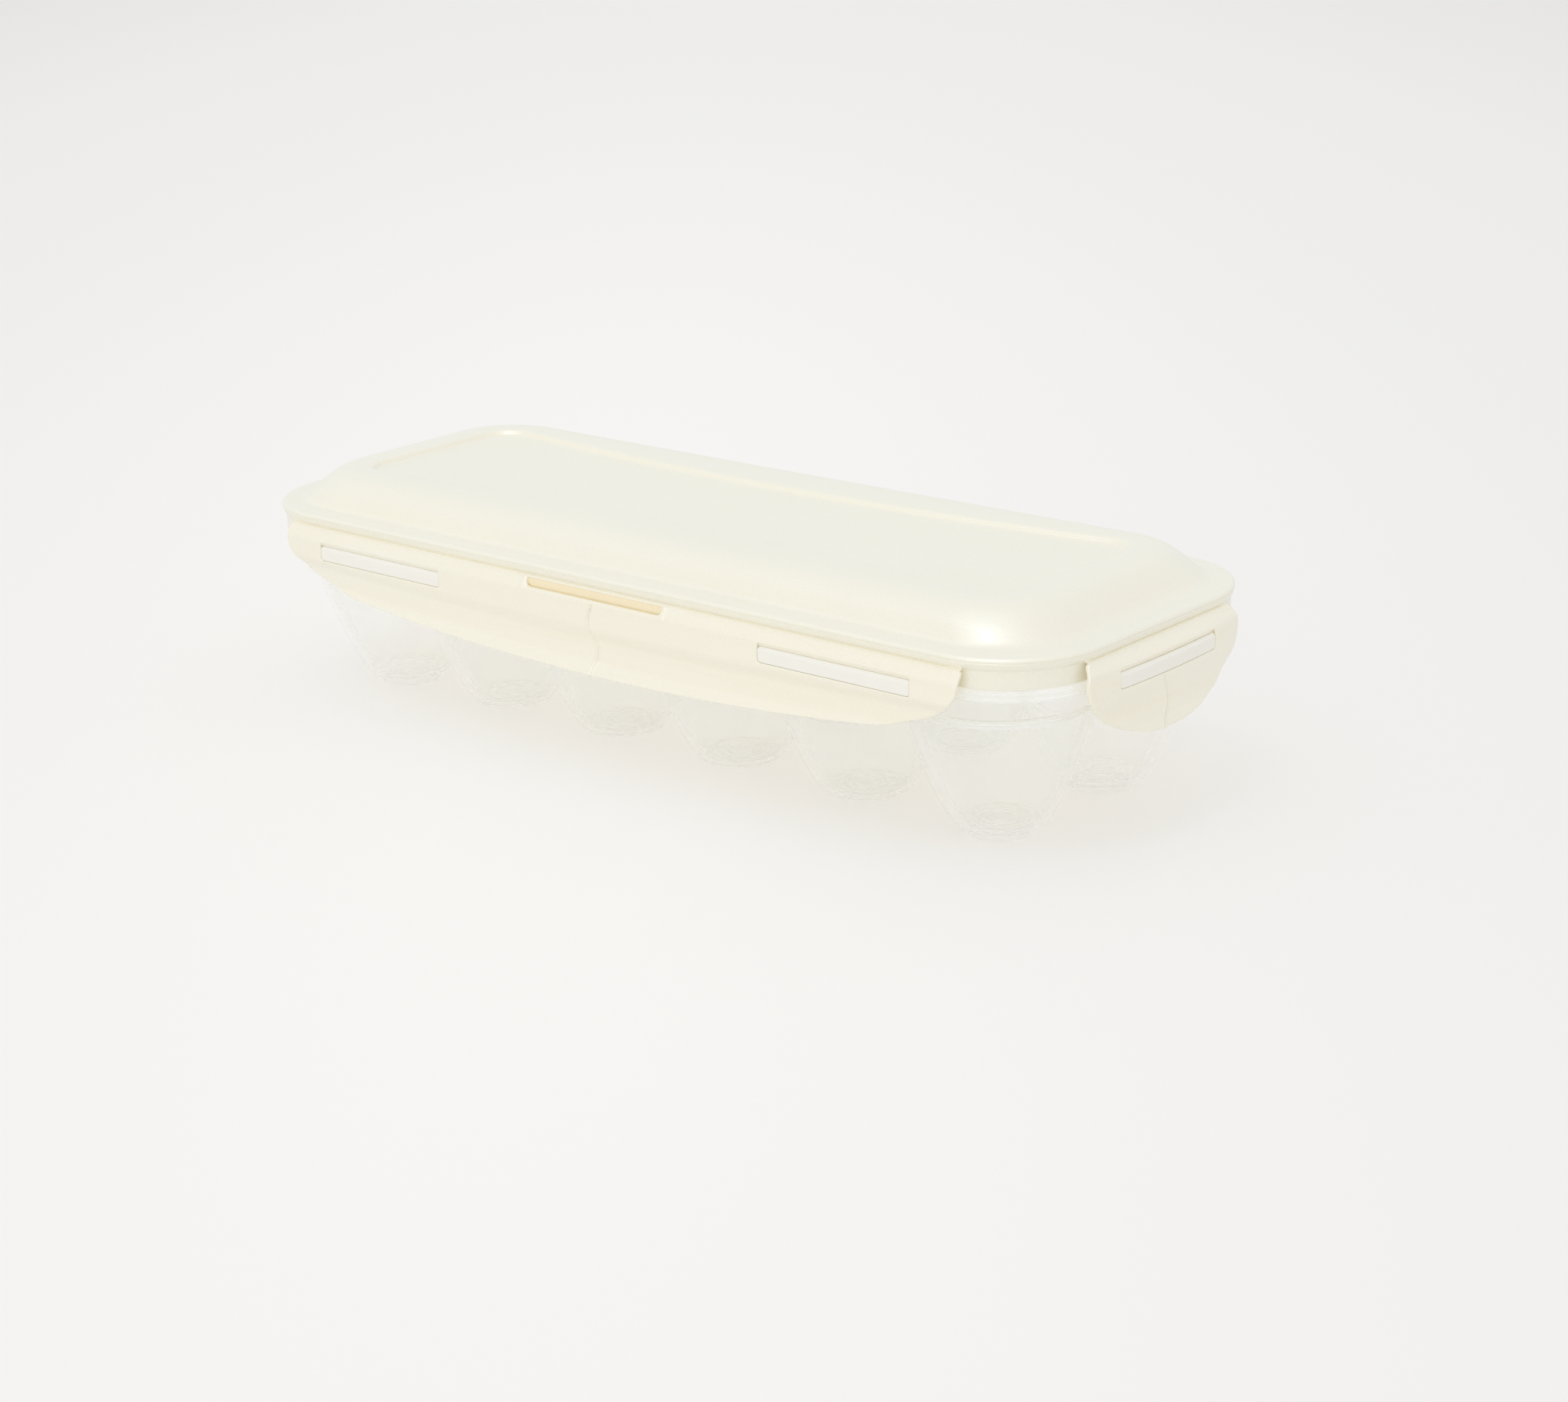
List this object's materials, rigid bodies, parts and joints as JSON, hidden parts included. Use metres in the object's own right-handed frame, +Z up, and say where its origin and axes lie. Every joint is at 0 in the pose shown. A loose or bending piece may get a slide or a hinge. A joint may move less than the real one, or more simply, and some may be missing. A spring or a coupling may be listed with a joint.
{
  "type": "egg storage tray",
  "caption": "Clear egg tray with rows of open cups, closed by a cream domed lid with a soft seal and locking flaps on all four sides.",
  "frame": {"origin": "centre of the footprint, on the plane the four feet stand on", "axes": "+X along the rows of cups, +Y across them towards the back, +Z up out of the cups"},
  "size_m": [0.3056, 0.1156, 0.0677],
  "materials": {
    "clear_plastic": "clear, very slightly frosted moulded polypropylene",
    "cream_plastic": "pearly cream moulded polypropylene with a soft satin gloss",
    "silicone": "soft translucent white silicone"
  },
  "bodies": {
    "tray": {"tray_frame": "clear_plastic", "cup_front_1": "clear_plastic", "cup_front_2": "clear_plastic", "cup_front_3": "clear_plastic", "cup_front_4": "clear_plastic", "cup_front_5": "clear_plastic", "cup_front_6": "clear_plastic", "cup_back_1": "clear_plastic", "cup_back_2": "clear_plastic", "cup_back_3": "clear_plastic", "cup_back_4": "clear_plastic", "cup_back_5": "clear_plastic", "cup_back_6": "clear_plastic"},
    "lid": {"lid": "cream_plastic", "seal": "silicone"},
    "flap_front": {"flap_front": "cream_plastic"},
    "flap_back": {"flap_back": "cream_plastic"},
    "flap_left": {"flap_left": "cream_plastic"},
    "flap_right": {"flap_right": "cream_plastic"}
  },
  "joints": [
    {"name": "lid_lift", "type": "slide", "parent": "tray", "child": "lid", "axis": [0, 0, 1], "range_m": [0, 0.09]},
    {"name": "flap_front_hinge", "type": "hinge", "parent": "lid", "child": "flap_front", "pos_m": [0, -0.0549, 0.0552], "axis": [-1, 0, 0], "range_deg": [0, 110]},
    {"name": "flap_back_hinge", "type": "hinge", "parent": "lid", "child": "flap_back", "pos_m": [0, 0.0549, 0.0552], "axis": [1, 0, 0], "range_deg": [0, 110]},
    {"name": "flap_left_hinge", "type": "hinge", "parent": "lid", "child": "flap_left", "pos_m": [-0.1485, 0, 0.0552], "axis": [0, 1, 0], "range_deg": [0, 110]},
    {"name": "flap_right_hinge", "type": "hinge", "parent": "lid", "child": "flap_right", "pos_m": [0.1485, 0, 0.0552], "axis": [0, -1, 0], "range_deg": [0, 110]}
  ]
}
